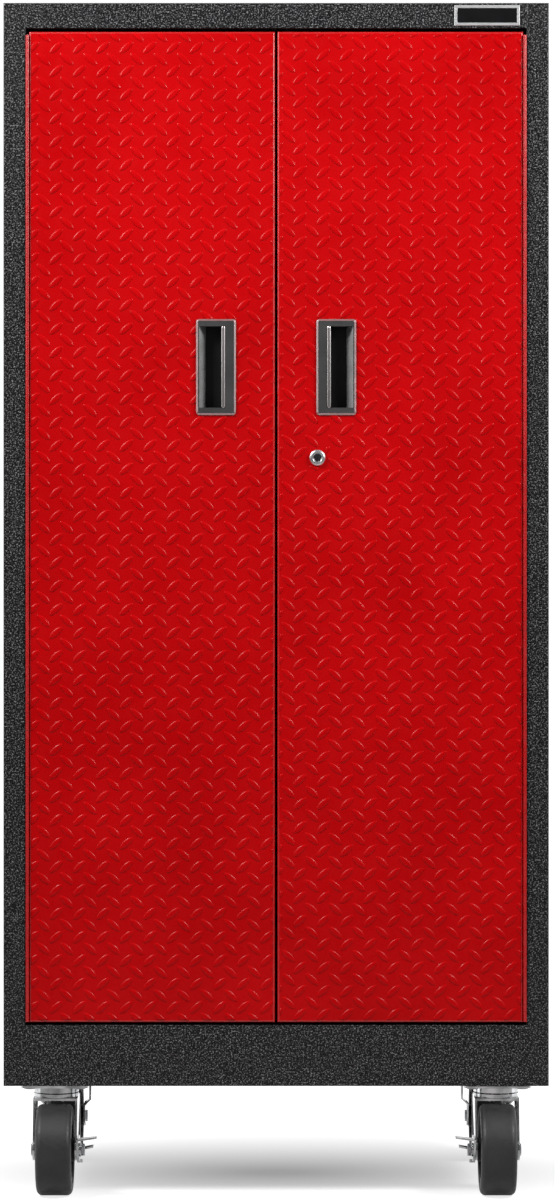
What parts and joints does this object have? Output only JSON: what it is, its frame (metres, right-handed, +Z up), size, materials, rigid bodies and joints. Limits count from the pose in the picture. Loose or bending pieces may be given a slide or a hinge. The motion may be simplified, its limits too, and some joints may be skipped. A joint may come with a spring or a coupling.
{
  "type": "two-door rolling tool cabinet",
  "caption": "Tall steel cabinet on casters with hinged tread-patterned doors, recessed pulls, a cam lock and adjustable shelves.",
  "frame": {"origin": "on the floor, below the middle of the cabinet's outer box", "axes": "+Z up, +X to the viewer's right, doors face -Y"},
  "size_m": [0.762, 0.5005, 1.668],
  "materials": {
    "frame_paint": "charcoal hammered enamel with fine silver speckle",
    "door_paint": "glossy red powder coat",
    "shelf_paint": "satin charcoal powder coat",
    "zinc_steel": "bright zinc plate",
    "hinge_pin_steel": "drawn steel wire",
    "caster_chrome": "bright plated pressed steel",
    "lock_chrome": "polished chrome",
    "pull_plastic": "dark grey moulded plastic, satin",
    "magnet_housing": "black moulded plastic",
    "badge_silver": "satin aluminium",
    "badge_dark": "glossy black, bare",
    "tyre_rubber": "dark grey rubber, satin",
    "wheel_plastic": "black moulded core"
  },
  "bodies": {
    "cabinet": {"side_panel_left": "frame_paint", "side_panel_right": "frame_paint", "top_panel": "frame_paint", "back_panel": "frame_paint", "bottom_panel": "frame_paint", "base_skirt": "frame_paint", "caster_channel_front": "frame_paint", "caster_channel_rear": "frame_paint", "shelf_standards": "zinc_steel", "shelf_clips": "zinc_steel", "shelf_1": "shelf_paint", "shelf_2": "shelf_paint", "shelf_3_fixed": "shelf_paint", "shelf_4": "shelf_paint", "lock_keeper": "zinc_steel", "door_magnets": "magnet_housing", "badge_border": "badge_silver", "badge_inset": "badge_dark", "hinge_leaf_frame_left": "door_paint", "hinge_leaf_frame_right": "door_paint", "hinge_pins": "hinge_pin_steel", "swivel_plate_left": "caster_chrome", "swivel_plate_right": "caster_chrome", "swivel_kingpins": "caster_chrome", "swivel_balls": "caster_chrome", "caster_bolts": "zinc_steel", "rigid_fork_left": "caster_chrome", "rigid_fork_right": "caster_chrome", "rigid_axles": "zinc_steel"},
    "left_door": {"door_skin_left": "door_paint", "door_liner_left": "door_paint", "hinge_leaf_door_left": "door_paint", "pull_left": "pull_plastic", "cam_hook": "zinc_steel", "strike_plate_left": "zinc_steel"},
    "right_door": {"door_skin_right": "door_paint", "door_liner_right": "door_paint", "hinge_leaf_door_right": "door_paint", "pull_right": "pull_plastic", "strike_plate_right": "zinc_steel", "lock_housing": "lock_chrome", "lock_nut": "zinc_steel"},
    "lock": {"lock_plug": "lock_chrome", "lock_cam": "zinc_steel"},
    "swivel_left": {"swivel_fork_left": "caster_chrome", "swivel_axle_left": "zinc_steel"},
    "front_wheel_left": {"wheel_front_left_tyre": "tyre_rubber", "wheel_front_left_core": "wheel_plastic"},
    "rear_wheel_left": {"wheel_rear_left_tyre": "tyre_rubber", "wheel_rear_left_core": "wheel_plastic"},
    "brake_left": {"brake_lever_left": "caster_chrome"},
    "swivel_right": {"swivel_fork_right": "caster_chrome", "swivel_axle_right": "zinc_steel"},
    "front_wheel_right": {"wheel_front_right_tyre": "tyre_rubber", "wheel_front_right_core": "wheel_plastic"},
    "rear_wheel_right": {"wheel_rear_right_tyre": "tyre_rubber", "wheel_rear_right_core": "wheel_plastic"},
    "brake_right": {"brake_lever_right": "caster_chrome"}
  },
  "joints": [
    {"name": "left_door_hinge", "type": "hinge", "parent": "cabinet", "child": "left_door", "pos_m": [-0.3476, -0.20795, 0.9364], "axis": [0, 0, -1], "range_deg": [0, 165]},
    {"name": "right_door_hinge", "type": "hinge", "parent": "cabinet", "child": "right_door", "pos_m": [0.3476, -0.20795, 0.9364], "axis": [0, 0, 1], "range_deg": [0, 165]},
    {"name": "lock_turn", "type": "hinge", "parent": "right_door", "child": "lock", "pos_m": [0.0577, -0.17575, 1.0328], "axis": [0, 1, 0], "range_deg": [0, 90]},
    {"name": "front_left_swivel", "type": "hinge", "parent": "cabinet", "child": "swivel_left", "pos_m": [-0.31, -0.14875, 0.155], "axis": [0, 0, 1], "continuous": true},
    {"name": "front_left_wheel_spin", "type": "hinge", "parent": "swivel_left", "child": "front_wheel_left", "pos_m": [-0.31, -0.18675, 0.0635], "axis": [1, 0, 0], "continuous": true},
    {"name": "front_left_brake", "type": "hinge", "parent": "swivel_left", "child": "brake_left", "pos_m": [-0.31, -0.18675, 0.0635], "axis": [1, 0, 0], "range_deg": [0, 35]},
    {"name": "rear_left_wheel_spin", "type": "hinge", "parent": "cabinet", "child": "rear_wheel_left", "pos_m": [-0.315, 0.17825, 0.0635], "axis": [1, 0, 0], "continuous": true},
    {"name": "front_right_swivel", "type": "hinge", "parent": "cabinet", "child": "swivel_right", "pos_m": [0.31, -0.14875, 0.155], "axis": [0, 0, 1], "continuous": true},
    {"name": "front_right_wheel_spin", "type": "hinge", "parent": "swivel_right", "child": "front_wheel_right", "pos_m": [0.31, -0.18675, 0.0635], "axis": [1, 0, 0], "continuous": true},
    {"name": "front_right_brake", "type": "hinge", "parent": "swivel_right", "child": "brake_right", "pos_m": [0.31, -0.18675, 0.0635], "axis": [1, 0, 0], "range_deg": [0, 35]},
    {"name": "rear_right_wheel_spin", "type": "hinge", "parent": "cabinet", "child": "rear_wheel_right", "pos_m": [0.315, 0.17825, 0.0635], "axis": [1, 0, 0], "continuous": true}
  ]
}
